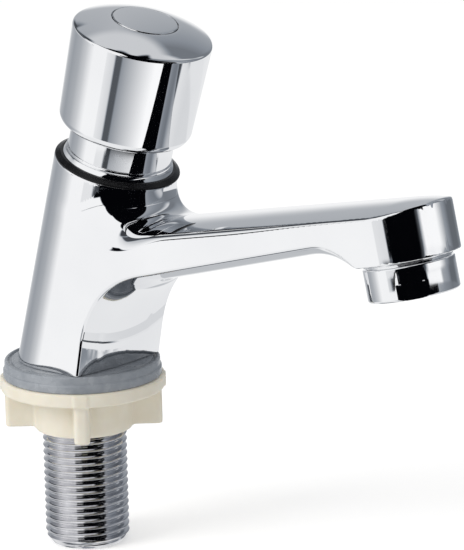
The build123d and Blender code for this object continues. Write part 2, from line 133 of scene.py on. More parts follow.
def in_scene(name, data):
    """A new object of the scene, at the origin, that holds this mesh, camera or lamp."""
    made = bpy.data.objects.new(name, data)
    bpy.context.scene.collection.objects.link(made)
    return made


def new_piece(name, bm, place, body, material, stands_for=(), weighted=True):
    """Turns a bmesh in millimetres into a named piece that rides on a body of the frame."""
    mesh = bpy.data.meshes.new(name)
    bm.to_mesh(mesh)
    bm.free()
    mesh.transform(place)
    mesh.polygons.foreach_set("use_smooth", [True] * len(mesh.polygons))
    mesh.set_sharp_from_angle(angle=SHARP)
    piece = in_scene(name, mesh)
    mesh.materials.append(material)
    if weighted:
        piece.modifiers.new("even_light", "WEIGHTED_NORMAL").keep_sharp = True
    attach(piece, body)
    for node in stands_for:
        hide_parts(node)
    print(name, "faces:", len(mesh.polygons))
    return piece


# %% [markdown]
# ## Finishes
# Every finish is built the same way: a base colour that varies a little, a roughness that varies a little,
# and a fine bump. The noise reads Object coordinates, so it sticks to the metal when a piece moves.
# The helpers below keep each finish short enough to read at a glance.

# %% Small helpers for finishes
def start_finish(name, metallic=0.0):
    material = bpy.data.materials.new(name)
    material.use_nodes = True
    shader = material.node_tree.nodes["Principled BSDF"]
    shader.inputs["Metallic"].default_value = metallic
    return material, material.node_tree, shader


def object_noise(tree, scale, detail=3.0, stretch=(1, 1, 1)):
    """Noise on Object coordinates, with scale in features per metre."""
    where = tree.nodes.new("ShaderNodeTexCoord")
    turn = tree.nodes.new("ShaderNodeMapping")
    turn.inputs["Scale"].default_value = stretch
    noise = tree.nodes.new("ShaderNodeTexNoise")
    noise.inputs["Scale"].default_value = scale
    noise.inputs["Detail"].default_value = detail
    tree.links.new(where.outputs["Object"], turn.inputs["Vector"])
    tree.links.new(turn.outputs["Vector"], noise.inputs["Vector"])
    return noise.outputs["Fac"]


def vary_roughness(tree, source, shader, low, high):
    spread = tree.nodes.new("ShaderNodeMapRange")
    spread.inputs["From Min"].default_value = 0.3
    spread.inputs["From Max"].default_value = 0.7
    spread.inputs["To Min"].default_value = low
    spread.inputs["To Max"].default_value = high
    tree.links.new(source, spread.inputs["Value"])
    tree.links.new(spread.outputs["Result"], shader.inputs["Roughness"])


def vary_colour(tree, source, shader, dark, light):
    ramp = tree.nodes.new("ShaderNodeValToRGB")
    ramp.color_ramp.elements[0].position = 0.3
    ramp.color_ramp.elements[1].position = 0.7
    ramp.color_ramp.elements[0].color = (*dark, 1)
    ramp.color_ramp.elements[1].color = (*light, 1)
    tree.links.new(source, ramp.inputs["Fac"])
    tree.links.new(ramp.outputs["Color"], shader.inputs["Base Color"])


def add_bump(tree, source, shader, depth, strength=1.0):
    """Bump with depth in metres, added on top of any bump that is there already."""
    bump = tree.nodes.new("ShaderNodeBump")
    bump.inputs["Distance"].default_value = depth
    bump.inputs["Strength"].default_value = strength
    if shader.inputs["Normal"].is_linked:
        tree.links.new(shader.inputs["Normal"].links[0].from_socket, bump.inputs["Normal"])
    tree.links.new(source, bump.inputs["Height"])
    tree.links.new(bump.outputs["Normal"], shader.inputs["Normal"])


# %% [markdown]
# Chrome plate follows the polished brass below it. The polisher's wheel leaves a faint unevenness about a
# centimetre wide, and use leaves a haze of very fine marks. Both are far weaker here than they feel when
# written down, because a mirror doubles every error in its slope.

# %% Chrome plate
def chrome_plate(name, dark, light, smooth, dull):
    material, tree, shader = start_finish(name, metallic=1.0)
    haze = object_noise(tree, 45, detail=4)
    vary_colour(tree, haze, shader, dark, light)
    marks = object_noise(tree, 160, detail=6)
    vary_roughness(tree, marks, shader, smooth, dull)
    waves = object_noise(tree, 70, detail=1)
    add_bump(tree, waves, shader, 0.000006)
    return material


polished_chrome = chrome_plate("polished_chrome", (0.86, 0.865, 0.88), (0.9, 0.905, 0.915), 0.015, 0.04)
print("finish:", polished_chrome.name)

# %% [markdown]
# The tail is plated too, but a thread is never polished, so its flanks are duller and greyer. Dirt and old
# plating salts gather in the roots. Fine rings of bump follow the cutting die.

# %% Plated thread
def thread_finish():
    material, tree, shader = start_finish("plated_thread", metallic=1.0)
    patches = object_noise(tree, 220, detail=5)
    vary_colour(tree, patches, shader, (0.62, 0.62, 0.64), (0.8, 0.8, 0.82))
    grain = object_noise(tree, 900, detail=3, stretch=(1, 1, 3))
    vary_roughness(tree, grain, shader, 0.05, 0.15)
    add_bump(tree, grain, shader, 0.00001)
    return material


plated_thread = thread_finish()

# %% [markdown]
# The wing nut is moulded in an ivory plastic. Such plastic lets a little light in, which softens its shadows,
# and its surface has the fine texture of the mould.

# %% Ivory plastic
def moulded_plastic(name, dark, light, glow, rough):
    material, tree, shader = start_finish(name)
    cloud = object_noise(tree, 120, detail=3)
    vary_colour(tree, cloud, shader, dark, light)
    shader.inputs["Subsurface Weight"].default_value = glow
    shader.inputs["Subsurface Radius"].default_value = (0.002, 0.0015, 0.001)
    skin = object_noise(tree, 2500, detail=2)
    vary_roughness(tree, cloud, shader, rough - 0.06, rough + 0.06)
    add_bump(tree, skin, shader, 0.00002)
    return material


ivory_plastic = moulded_plastic("ivory_plastic", (0.84, 0.785, 0.655), (0.91, 0.865, 0.755), 0.25, 0.42)
white_plastic = moulded_plastic("moulded_white", (0.84, 0.84, 0.8), (0.9, 0.9, 0.87), 0.2, 0.4)

# %% [markdown]
# Rubber is matt with a thin bloom on it. The gasket is a dull blue-grey with a slight sheen, and the small
# seals are black.

# %% Rubber
def rubber(name, dark, light, rough, shine):
    material, tree, shader = start_finish(name)
    shader.inputs["Specular IOR Level"].default_value = shine
    bloom = object_noise(tree, 300, detail=5)
    vary_colour(tree, bloom, shader, dark, light)
    vary_roughness(tree, bloom, shader, rough - 0.08, rough + 0.08)
    add_bump(tree, object_noise(tree, 1800, detail=2), shader, 0.00002)
    return material


gasket_rubber = rubber("gasket_rubber", (0.27, 0.295, 0.33), (0.36, 0.385, 0.42), 0.24, 0.7)
black_rubber = rubber("seal_rubber", (0.004, 0.004, 0.005), (0.009, 0.009, 0.01), 0.24, 0.25)

# %% [markdown]
# The inner parts of brass and steel are turned, so their marks run round the axis. Noise squeezed along one
# direction gives those lines.

# %% Turned metals
def turned_metal(name, dark, light, rough):
    material, tree, shader = start_finish(name, metallic=1.0)
    lines = object_noise(tree, 600, detail=4, stretch=(0.3, 0.3, 4))
    vary_colour(tree, lines, shader, dark, light)
    vary_roughness(tree, lines, shader, rough - 0.08, rough + 0.08)
    add_bump(tree, lines, shader, 0.00002)
    return material


turned_brass = turned_metal("turned_brass", (0.7, 0.5, 0.24), (0.83, 0.64, 0.36), 0.28)
stainless_steel = turned_metal("stainless_steel", (0.52, 0.52, 0.53), (0.68, 0.68, 0.69), 0.26)
punched_steel = turned_metal("punched_steel", (0.45, 0.45, 0.46), (0.6, 0.6, 0.61), 0.32)

# %% [markdown]
# ## The push cap
# The cap is a thin cup turned over the sleeve. Its side widens slightly upwards, its foot is well rounded,
# and the top is a low dome with a small edge. A recess in the middle takes the index disc.

# %% Push cap and index disc
CAP_FOOT_T = 66.85
CAP_RIM_T = 92.0
CAP_FOOT_R = 16.17
CAP_RIM_R = 17.03
CAP_MOUTH_R = 13.05
CAP_BORE_R = 14.0
CAP_CEILING_T = 88.0
HUB_R = 5.5
SPINDLE_R = 3.03
SCREW_R = 2.15
SCREW_HEAD_R = 4.6
DOME_EDGE = (8.17, 95.2)
DISC_SEAT_T = 92.6
INDEX_R = 7.95
INDEX_FOOT_T = 92.63
INDEX_HOLLOW_R = 6.6


def dome_centre(inner, outer):
    """Height of the centre, on the axis, of the dome through two points."""
    gap = 2 * (outer[1] - inner[1])
    return (0.0, (outer[0] ** 2 + outer[1] ** 2 - inner[0] ** 2 - inner[1] ** 2) / gap)


rim = (CAP_RIM_R, CAP_RIM_T)
dome = arc_between(rim, DOME_EDGE, dome_centre(DOME_EDGE, rim), 10)
cap_outline = [
    (CAP_MOUTH_R, CAP_FOOT_T, 0.3), (CAP_FOOT_R, CAP_FOOT_T, 2.35), (*rim, 0.45), *dome, (*DOME_EDGE, 0.2),
    (DOME_EDGE[0], DISC_SEAT_T), (SCREW_HEAD_R, DISC_SEAT_T), (SCREW_HEAD_R, 89.3), (SCREW_R, 89.3),
    (SCREW_R, 86.1), (SPINDLE_R, 86.1), (SPINDLE_R, 78.0), (HUB_R, 78.0), (HUB_R, CAP_CEILING_T),
    (CAP_BORE_R, CAP_CEILING_T), (CAP_BORE_R, 69.2), (CAP_MOUTH_R, 69.2),
]
new_piece("push_cap_shell", turned_mesh(cap_outline), ON_VALVE, "button", polished_chrome,
          ["push_cap"])

index_edge = (INDEX_R, 95.3)
index_top = (0.0, 95.9)
index_curve = arc_between(index_edge, index_top, dome_centre(index_top, index_edge), 8)
index_outline = [
    (0.0, 93.53), (INDEX_HOLLOW_R, 93.53), (INDEX_HOLLOW_R, INDEX_FOOT_T), (INDEX_R, INDEX_FOOT_T),
    (*index_edge, 0.28), *index_curve, index_top,
]
new_piece("index_disc", turned_mesh(index_outline), ON_VALVE, "button", polished_chrome,
          ["index_cap"])

# %% [markdown]
# ## The bonnet stack
# Between the cap and the casting come a chromed sleeve, a thin chromed ring and a black rubber ring. They are
# small, but three thin lines of bright, dark and bright are what makes the joint look real.

# %% Sleeve, ring and seal
BODY_TOP_T = 57.6
SEAL_TOP_T = 58.7
COLLAR_TOP_T = 59.9
SEAL_R = 15.4
SEAL_TOP_R = 14.1
COLLAR_R = 13.6
COLLAR_TOP_R = 13.15
RINGS_BORE_R = 12.1
SLEEVE_BORE_R = 9.95
SLEEVE_FOOT_T = 50.0
SLEEVE_THREAD_R = 11.94
SLEEVE_LIP_R = 13.0
SLEEVE_LIP_TOP_T = 60.7
SLEEVE_R = 12.7
SLEEVE_TOP_T = 74.0
sleeve_outline = [
    (SLEEVE_BORE_R, SLEEVE_FOOT_T), (SLEEVE_THREAD_R, SLEEVE_FOOT_T), (SLEEVE_THREAD_R, COLLAR_TOP_T),
    (SLEEVE_LIP_R, COLLAR_TOP_T, 0.1), (SLEEVE_LIP_R, SLEEVE_LIP_TOP_T, 0.22),
    (SLEEVE_R, SLEEVE_LIP_TOP_T, 0.06), (SLEEVE_R, SLEEVE_TOP_T, 0.5), (SLEEVE_BORE_R, SLEEVE_TOP_T),
]
new_piece("bonnet_sleeve_tube", turned_mesh(sleeve_outline), ON_VALVE, "tap", polished_chrome,
          ["bonnet_sleeve"])
collar_outline = [
    (RINGS_BORE_R, SEAL_TOP_T), (COLLAR_R, SEAL_TOP_T), (COLLAR_R, 58.85, 0.1),
    (COLLAR_TOP_R, COLLAR_TOP_T, 0.12), (RINGS_BORE_R, COLLAR_TOP_T),
]
new_piece("bonnet_collar_ring", turned_mesh(collar_outline), ON_VALVE, "tap", polished_chrome,
          ["bonnet_collar"])
seal_outline = [
    (RINGS_BORE_R, BODY_TOP_T), (SEAL_R, BODY_TOP_T, 0.12), (SEAL_R, 57.95, 0.2),
    (SEAL_TOP_R, SEAL_TOP_T, 0.15), (RINGS_BORE_R, SEAL_TOP_T),
]
new_piece("bonnet_seal_ring", turned_mesh(seal_outline), ON_VALVE, "tap", black_rubber,
          ["bonnet_seal"])

# %% [markdown]
# ## The gasket
# It is moulded with two steps at its rim and a shallow groove on top, which grips the casting's foot.

# %% Gasket
GASKET_R = 19.7
GASKET_BORE_R = 10.7
GASKET_TOP = 4.2
GROOVE_FLOOR = 3.7
gasket_outline = [
    (GASKET_BORE_R, 0.0), (GASKET_R, 0.0, 0.3), (GASKET_R, 2.0, 0.35), (19.32, 2.25, 0.1),
    (19.3, GASKET_TOP, 0.45), (18.5, GASKET_TOP, 0.15), (18.3, GROOVE_FLOOR, 0.1), (17.7, GROOVE_FLOOR, 0.1),
    (17.5, GASKET_TOP, 0.15), (GASKET_BORE_R, GASKET_TOP),
]
new_piece("base_gasket_ring", turned_mesh(gasket_outline), ON_TAIL, "tap", gasket_rubber,
          ["base_gasket"])

# %% [markdown]
# ## The threaded tail
# A thread is one tooth swept along a helix. A spin with a step along its axis does exactly that: the tooth's
# outline, one pitch tall, climbs one pitch in each full turn, so every turn meets the one before.
# The ends are cut square, and the lower end gets its chamfer by holding each vertex inside a cone.

# %% Thread
PITCH = 1.8143
CREST_R = 10.4775
ROOT_R = 9.3155
TAIL_FOOT = -42.8
TAIL_TOP = 4.15
TOOTH = [(0.0, 0.0), (0.1, 0.06), (0.2, 0.3), (0.35, 0.76), (0.44, 0.96), (0.5, 1.0), (0.56, 0.96),
         (0.65, 0.76), (0.8, 0.3), (0.9, 0.06), (1.0, 0.0)]
CREST_AT_CAMERA_Z = -19.24
CAMERA_SIDE = -48.0
TURN_STEPS = 72
TURNS = 29
CHAMFER_FOOT_R = 8.9
CHAMFER_SLOPE = 0.75
TAIL_BORE_R = 6.5
SIEVE_FLOOR = 5.6
SIEVE_R = 7.2
STUB_R = 9.52
STUB_TOP = 7.9


def thread_mesh():
    start_z = CREST_AT_CAMERA_Z - PITCH * TURNS / 2
    bm = bmesh.new()
    verts = [bm.verts.new((ROOT_R + (CREST_R - ROOT_R) * out, 0, start_z + PITCH * up)) for up, out in TOOTH]
    for a, b in zip(verts, verts[1:]):
        bm.edges.new((a, b))
    bmesh.ops.spin(bm, geom=bm.verts[:] + bm.edges[:], cent=(0, 0, 0), axis=(0, 0, 1),
                   dvec=(0, 0, PITCH / TURN_STEPS), angle=2 * pi * TURNS, steps=TURN_STEPS * TURNS,
                   use_merge=False, use_duplicate=False)
    towards_camera = Matrix.Rotation(radians(CAMERA_SIDE), 3, "Z")
    bmesh.ops.rotate(bm, verts=bm.verts[:], cent=(0, 0, 0), matrix=towards_camera)
    bmesh.ops.remove_doubles(bm, verts=bm.verts[:], dist=1e-4)
    for z, up in ((TAIL_FOOT, -1), (TAIL_TOP, 1)):
        bmesh.ops.bisect_plane(bm, geom=bm.verts[:] + bm.edges[:] + bm.faces[:], dist=1e-6,
                               plane_co=(0, 0, z), plane_no=(0, 0, up), clear_outer=True)
    return bm


def hold_in_cone(bm, foot_r, foot_z, slope):
    """Pulls vertices inwards to a cone that opens upwards from foot_r at foot_z."""
    for v in bm.verts:
        r = sqrt(v.co.x ** 2 + v.co.y ** 2)
        most = foot_r + (v.co.z - foot_z) * slope
        if r > most:
            v.co.x *= most / r
            v.co.y *= most / r


def extend_rim(bm, rim_edges, r, z):
    """Carries an open rim on to a circle of radius r at height z, and returns the new rim."""
    made = bmesh.ops.extrude_edge_only(bm, edges=rim_edges)["geom"]
    for v in [g for g in made if isinstance(g, bmesh.types.BMVert)]:
        scale = r / sqrt(v.co.x ** 2 + v.co.y ** 2)
        v.co = (v.co.x * scale, v.co.y * scale, z)
    return [g for g in made if isinstance(g, bmesh.types.BMEdge) and g.is_boundary]


def rim_near(bm, z):
    return [e for e in bm.edges if e.is_boundary and all(abs(v.co.z - z) < 0.02 for v in e.verts)]


tail = thread_mesh()
hold_in_cone(tail, CHAMFER_FOOT_R, TAIL_FOOT, CHAMFER_SLOPE)
rim = rim_near(tail, TAIL_FOOT)
for r, z in ((8.75, TAIL_FOOT), (6.9, TAIL_FOOT), (TAIL_BORE_R, TAIL_FOOT + 0.4), (TAIL_BORE_R, SIEVE_FLOOR)):
    rim = extend_rim(tail, rim, r, z)
rim = rim_near(tail, TAIL_TOP)
for r, z in ((STUB_R, TAIL_TOP), (STUB_R, STUB_TOP), (SIEVE_R, STUB_TOP), (SIEVE_R, SIEVE_FLOOR),
             (TAIL_BORE_R, SIEVE_FLOOR)):
    rim = extend_rim(tail, rim, r, z)
bmesh.ops.remove_doubles(tail, verts=tail.verts[:], dist=1e-3)
bmesh.ops.recalc_face_normals(tail, faces=tail.faces[:])
new_piece("threaded_tail_tube", tail, ON_TAIL, "tap", plated_thread, ["threaded_tail"],
          weighted=False)

# %% [markdown]
# ## The wing nut
# Moulded plastic has soft corners everywhere, inside ones too. Rather than bevel each edge, the flange, hub
# and wings are made as overlapping solids, and a voxel remesh melts them into one skin. A few rounds of
# smoothing then give every corner the same small round, as a mould does.

# %% Wing nut
NUT_FLANGE_R = 20.35
NUT_FLANGE_H = 3.45
NUT_HUB_R = 12.15
NUT_BORE_R = 10.55
NUT_FOOT = -13.5
WING_THICKNESS = 3.85
WING_REACH = 19.5
WING_TOP = -1.0
WING_FOOT = -13.0
WING_ROUND = 1.2
RIB_REACH = 20.6
RIB_ROUND = 0.5
WING_ANGLE = 42.0
NUT_GAP = 0.03
NUT_VOXEL = 0.3
NUT_SMOOTHING = 3


def wing_block(bm, reach, top, foot, angle, rounding):
    """An upright block from the hub outwards, with a rounded outer end."""
    made = bmesh.ops.create_cube(bm, size=1.0)["verts"]
    inner = NUT_BORE_R + 0.8
    for v in made:
        v.co = (inner + (reach - inner) * (v.co.x + 0.5), WING_THICKNESS * v.co.y,
                foot + (top - foot) * (v.co.z + 0.5))
    ends = {e for v in made for e in v.link_edges if all(abs(u.co.x - reach) < 1e-6 for u in e.verts)}
    upright = [e for e in ends if abs(e.verts[0].co.z - e.verts[1].co.z) > 1]
    made = bmesh.ops.bevel(bm, geom=upright, affect="EDGES", offset=rounding, segments=5, profile=0.5,
                           material=-1)["verts"] + [v for v in made if v.is_valid]
    turned = Matrix.Rotation(radians(angle), 3, "Z")
    bmesh.ops.rotate(bm, verts=list(set(made)), cent=(0, 0, 0), matrix=turned)


def worked(mesh, kind, **settings):
    """A copy of the mesh with one modifier applied."""
    holder = in_scene("blank", mesh)
    tool = holder.modifiers.new("tool", kind)
    for key, value in settings.items():
        setattr(tool, key, value)
    done = bpy.data.meshes.new_from_object(holder.evaluated_get(bpy.context.evaluated_depsgraph_get()))
    bpy.data.objects.remove(holder)
    return done


def relax(bm, verts, rounds):
    for _ in range(rounds):
        bmesh.ops.smooth_vert(bm, verts=verts, factor=0.5, use_axis_x=True, use_axis_y=True, use_axis_z=True)


def melted(bm, voxel, rounds, name):
    """Voxel remesh and smoothing of overlapping solids, as a new bmesh."""
    mesh = bpy.data.meshes.new(name)
    bm.to_mesh(mesh)
    bm.free()
    done = worked(mesh, "REMESH", mode="VOXEL", voxel_size=voxel)
    melt = bmesh.new()
    melt.from_mesh(done)
    bpy.data.meshes.remove(done)
    bpy.data.meshes.remove(mesh)
    relax(melt, melt.verts[:], rounds)
    return melt


nut = turned_mesh([(NUT_BORE_R, -NUT_GAP), (NUT_FLANGE_R, -NUT_GAP), (NUT_FLANGE_R, -NUT_FLANGE_H),
                   (NUT_HUB_R, -NUT_FLANGE_H), (NUT_HUB_R, NUT_FOOT), (NUT_BORE_R, NUT_FOOT)])
for quarter in range(4):
    turn = WING_ANGLE + 90 * quarter
    wing_block(nut, WING_REACH, WING_TOP, WING_FOOT, turn, WING_ROUND)
    wing_block(nut, RIB_REACH, -NUT_GAP, -NUT_FLANGE_H, turn, RIB_ROUND)
nut = melted(nut, NUT_VOXEL, NUT_SMOOTHING, "nut_blank")
new_piece("back_nut_wings", nut, ON_TAIL, "nut", ivory_plastic, ["back_nut"],
          weighted=False)

# %% [markdown]
# ## The aerator
# The chromed housing screws into the spout's lower face. Two flats on its lower half take a spanner.
# The flats are made after the spin, by moving the vertices that lie beyond each flat back onto its plane.

# %% Aerator housing
FLATS_ACROSS = 20.3
FLAT_TOP_V = -4.95
FLAT_ANGLE = -50.0
AERATOR_R = 10.78
AERATOR_MOUTH_R = 6.6
AERATOR_BORE_R = 7.3
AERATOR_FOOT = -8.85
AERATOR_LEDGE = AERATOR_FOOT + 1.0
AERATOR_TOP = 6.5


def cut_flats(bm, across, below, angle):
    side = Vector((cos(radians(angle)), sin(radians(angle)), 0))
    for v in bm.verts:
        reach = v.co.dot(side)
        if v.co.z < below and abs(reach) > across / 2:
            v.co -= side * (abs(reach) - across / 2) * (1 if reach > 0 else -1)


housing_outline = [
    (AERATOR_MOUTH_R, AERATOR_FOOT, 0.2), (AERATOR_R, AERATOR_FOOT, 0.7), (AERATOR_R, FLAT_TOP_V - 0.08),
    (AERATOR_R, FLAT_TOP_V + 0.08), (AERATOR_R, -1.0, 0.35), (10.1, -1.0, 0.05), (10.1, -0.7),
    (10.5, -0.7, 0.08), (10.5, -0.4, 0.08), (10.1, -0.4), (10.1, -0.03), (8.5, -0.03),
    (8.5, AERATOR_TOP, 0.3), (AERATOR_BORE_R, AERATOR_TOP), (AERATOR_BORE_R, AERATOR_LEDGE),
    (AERATOR_MOUTH_R, AERATOR_LEDGE, 0.1),
]
housing = turned_mesh(housing_outline, steps=240)
cut_flats(housing, FLATS_ACROSS, FLAT_TOP_V, FLAT_ANGLE)
new_piece("aerator_housing_shell", housing, ON_AERATOR, "tap", polished_chrome,
          ["aerator_housing"])

# %% [markdown]
# ## The casting
# Column and spout are one casting, ground and polished until every face flows into the next. Drawing such
# blends by hand is slow. Here the casting is a formula: a signed distance, below zero inside the metal.
# Planes, a cylinder and a flare are joined with soft minimum and maximum, which leave a round of a chosen
# width where two faces meet. The solid model's own mesh is remeshed finely, and each outer vertex then
# slides onto the formula's surface, which is smooth to the last digit.

# %% Shape of the casting as a formula
COLUMN_R = 15.2
COLUMN_LEAN = 15.6
COLUMN_FOOT_X = -1.76
BASE_Z = GASKET_TOP
TIP_R = 12.7
FRONT_X = 12.3
FRONT_SLOPE = 0.2
FRONT_BULGE = 1.0
UNDER_FROM = (28.0, 31.0)
UNDER_TO = (80.0, 45.35)
TOP_FROM = (40.0, 43.4)
TOP_TO = (100.0, 55.45)
CROWN = 2.4
BELLY = 2.8
NOSE_X = 109.8
NECK_R = 11.4
NECK_TOP_T = 57.0
HUMP_FALL_X = (99.7, 92.2)
HUMP_FALL = (-0.49, -0.15)
HUMP_SOFT = (3.9, 2.4)
KNEE_SOFT = 14.7
NOSE_SOFT = 1.15
NECK_SOFT = 5.0
SEAT_SOFT = 0.5
RIM_SOFT = 0.6
FRONT_EDGE_SOFT = 0.7
JOIN_SOFT = 0.5
FOOT_SOFT = 0.3
TIP_EDGE_SOFT = 0.5
MIDDLE_EDGE_MORE = 0.8
MIDDLE_EDGE_X = (60.0, 90.0)
ROOT_EDGE_MORE = 4.0
ROOT_EDGE_X = (20.0, 42.0)
UNDER_EDGE_SOFT = 0.7
UNDER_EDGE_LESS = 0.4
UNDER_EDGE_X = (80.0, 95.0)
SPOUT_ROOT_X = 5.0


def soft_max(a, b, width):
    """Larger of two distances, with a round of about that width where they meet."""
    near = np.maximum(width - np.abs(a - b), 0.0) / width
    return np.maximum(a, b) + near * near * width / 4


def soft_min(a, b, width):
    return -soft_max(-a, -b, width)


def smooth_step(x, low, high):
    s = np.clip((x - low) / (high - low), 0, 1)
    return s * s * (3 - 2 * s)


def sloped(start, end, x):
    slope = (end[1] - start[1]) / (end[0] - start[0])
    return start[1] + slope * (x - start[0]), slope


def side_walls(x, y, z):
    """Distance outside the spout's plan: a large and a small circle joined by two straight sides."""
    back = COLUMN_FOOT_X + z * tan(radians(COLUMN_LEAN))
    run = AERATOR_X - (z - AERATOR_Z) * tan(radians(AERATOR_LEAN)) - back
    taper = (COLUMN_R - TIP_R) / run
    along = np.sqrt(1 - taper * taper)
    aside, ahead = np.abs(y), x - back
    reach = along * ahead - taper * aside
    straight = along * aside + taper * ahead - COLUMN_R
    large = np.hypot(aside, ahead) - COLUMN_R
    small = np.hypot(aside, ahead - run) - TIP_R
    return np.where(reach < 0, large, np.where(reach > along * run, small, straight))


def across(x, y):
    """1 in the middle of the spout's width, 0 at its sides."""
    half = COLUMN_R - (COLUMN_R - TIP_R) * (x - SPOUT_ROOT_X) / (AERATOR_X - SPOUT_ROOT_X)
    return 1 - (y / np.maximum(half, 8.0)) ** 2


def spout_top(x, y, z):
    rise, slope = sloped(TOP_FROM, TOP_TO, x)
    level, _ = sloped(TOP_FROM, TOP_TO, NOSE_X)
    height = soft_min(rise, np.full_like(x, level), NOSE_SOFT) + CROWN * across(x, y)
    return (z - height) * cos(np.arctan(slope))


def front_and_under(x, y, z):
    """Outside of the flat front and of the spout's underside, joined by the wide knee."""
    front_x = FRONT_X + FRONT_BULGE * (1 - (y / COLUMN_R) ** 2) + FRONT_SLOPE * (z - BASE_Z)
    front = (x - front_x) * cos(np.arctan(FRONT_SLOPE))
    line, slope = sloped(UNDER_FROM, UNDER_TO, x)
    under = (line - BELLY * across(x, y) - z) * cos(np.arctan(slope))
    return soft_min(front, under, KNEE_SOFT)


def boss(x, y, z):
    """Outside of the swelling that carries the aerator, under the spout's tip."""
    middle = np.clip(1 - (y / TIP_R) ** 2, -0.6, 1)
    fall_x, slope = [side + (mid - side) * middle for side, mid in (HUMP_FALL_X, HUMP_FALL)]
    seat_slope = tan(radians(AERATOR_LEAN))
    fall_z = AERATOR_Z + (fall_x - AERATOR_X) * seat_slope + slope * (x - fall_x)
    falling = (fall_z - z) * np.cos(np.arctan(slope))
    seat = (AERATOR_Z + (x - AERATOR_X) * seat_slope - z) * cos(radians(AERATOR_LEAN))
    return soft_max(falling, seat, SEAT_SOFT)


def column_and_neck(x, y, z):
    """Distance outside the leaning column, and outside its flare into the spout."""
    lean = radians(COLUMN_LEAN)
    t = (x - COLUMN_FOOT_X) * sin(lean) + z * cos(lean)
    r = np.hypot((x - COLUMN_FOOT_X) * cos(lean) - z * sin(lean), y)
    down, out = NECK_TOP_T - t, COLUMN_R + NECK_R - r
    arc = NECK_R - np.hypot(down, out)
    flare = np.where(down < 0, r - COLUMN_R, np.where(out < 0, NECK_R - down, arc))
    return r - COLUMN_R, flare


def casting(points):
    """Signed distance in millimetres, near enough to one millimetre per millimetre for sliding vertices."""
    x, y, z = points.T
    column, flare = column_and_neck(x, y, z)
    low = front_and_under(x, y, z)
    middle = np.clip(across(x, y), 0, 1)
    hump = HUMP_SOFT[0] + (HUMP_SOFT[1] - HUMP_SOFT[0]) * middle
    lean = radians(VALVE_LEAN)
    rim = (x - VALVE_FOOT_X) * sin(lean) + z * cos(lean) - BODY_TOP_T
    upper = soft_min(soft_max(flare, rim, RIM_SOFT), spout_top(x, y, z), NECK_SOFT)
    edge = (TIP_EDGE_SOFT + MIDDLE_EDGE_MORE * (1 - smooth_step(x, *MIDDLE_EDGE_X))
            + ROOT_EDGE_MORE * (1 - smooth_step(x, *ROOT_EDGE_X)))
    lower_edge = UNDER_EDGE_SOFT - UNDER_EDGE_LESS * smooth_step(x, *UNDER_EDGE_X)
    under = soft_min(low, boss(x, y, z), hump)
    spout = soft_max(soft_max(side_walls(x, y, z), upper, edge), under, lower_edge)
    stand = soft_max(soft_max(column, low, FRONT_EDGE_SOFT), rim, RIM_SOFT)
    return soft_max(soft_min(stand, spout, JOIN_SOFT), BASE_Z - z, FOOT_SOFT)


def slope_of(points, step=0.01):
    """Gradient of the casting's distance by central differences."""
    parts = []
    for axis in np.eye(3) * step:
        parts.append((casting(points + axis) - casting(points - axis)) / (2 * step))
    return np.stack(parts, axis=1)


# %% [markdown]
# Only the outer skin slides. The valve chamber, the waterway and the threads for the aerator keep the solid
# model's shape, so their zones are left out. Dense vertices matter only where the surface turns quickly, so
# after the slide a Decimate modifier thins the flat sides, and the vertices slide once more.
# The last step takes each outer vertex's light direction from the formula instead of from its neighbours.

# %% Make the casting's mesh
WATERWAY_FROM = np.array((15.0, 0.0, 32.9))
WATERWAY_TO = np.array((103.0, 0.0, 53.1))
WATERWAY_ZONE_R = 3.2
CHAMBER_ZONE_R = 12.4
CHAMBER_FOOT_T = 9
STUB_ZONE_R = 10.0
STUB_ZONE_TOP = 16
OUTLET_ZONE_R = 8.9
OUTLET_ZONE_TOP_V = 9.3
SKIN_DEPTH = 4
VOXEL = 0.36
SKIN_TRIANGLES = 170000


def from_waterway(points):
    """Distance from the middle line of the bore that feeds the aerator."""
    run = WATERWAY_TO - WATERWAY_FROM
    share = np.clip((points - WATERWAY_FROM) @ run / (run @ run), 0, 1)
    return np.linalg.norm(points - WATERWAY_FROM - share[:, None] * run, axis=1)


def outside_hollows(points):
    """True for points that belong to the casting's outer skin and not to a hollow in it."""
    x, y, z = points.T
    lean, tip = radians(VALVE_LEAN), radians(AERATOR_LEAN)
    t = (x - VALVE_FOOT_X) * sin(lean) + z * cos(lean)
    from_valve = np.hypot((x - VALVE_FOOT_X) * cos(lean) - z * sin(lean), y)
    v = -(x - AERATOR_X) * sin(tip) + (z - AERATOR_Z) * cos(tip)
    from_outlet = np.hypot((x - AERATOR_X) * cos(tip) + (z - AERATOR_Z) * sin(tip), y)
    chamber = (from_valve < CHAMBER_ZONE_R) & (t > CHAMBER_FOOT_T)
    stub = (np.hypot(x, y) < STUB_ZONE_R) & (z < STUB_ZONE_TOP)
    outlet = (from_outlet < OUTLET_ZONE_R) & (v < OUTLET_ZONE_TOP_V)
    near_skin = np.abs(casting(points)) < SKIN_DEPTH
    return (from_waterway(points) > WATERWAY_ZONE_R) & near_skin & ~chamber & ~stub & ~outlet


def read_points(mesh):
    flat = np.empty(len(mesh.vertices) * 3)
    mesh.vertices.foreach_get("co", flat)
    return flat.reshape(-1, 3) / MM


def slide_to_formula(mesh, rounds):
    points = read_points(mesh)
    skin = outside_hollows(points)
    for _ in range(rounds):
        near = points[skin]
        slope = slope_of(near)
        steepness = np.maximum((slope ** 2).sum(1), 0.2)
        points[skin] = near - slope * np.clip(casting(near) / steepness, -1.0, 1.0)[:, None]
    mesh.vertices.foreach_set("co", (points * MM).ravel())
    mesh.update()
    miss = np.abs(casting(points[skin])).max()
    print("casting: skin vertices", int(skin.sum()), "largest miss", float(miss))


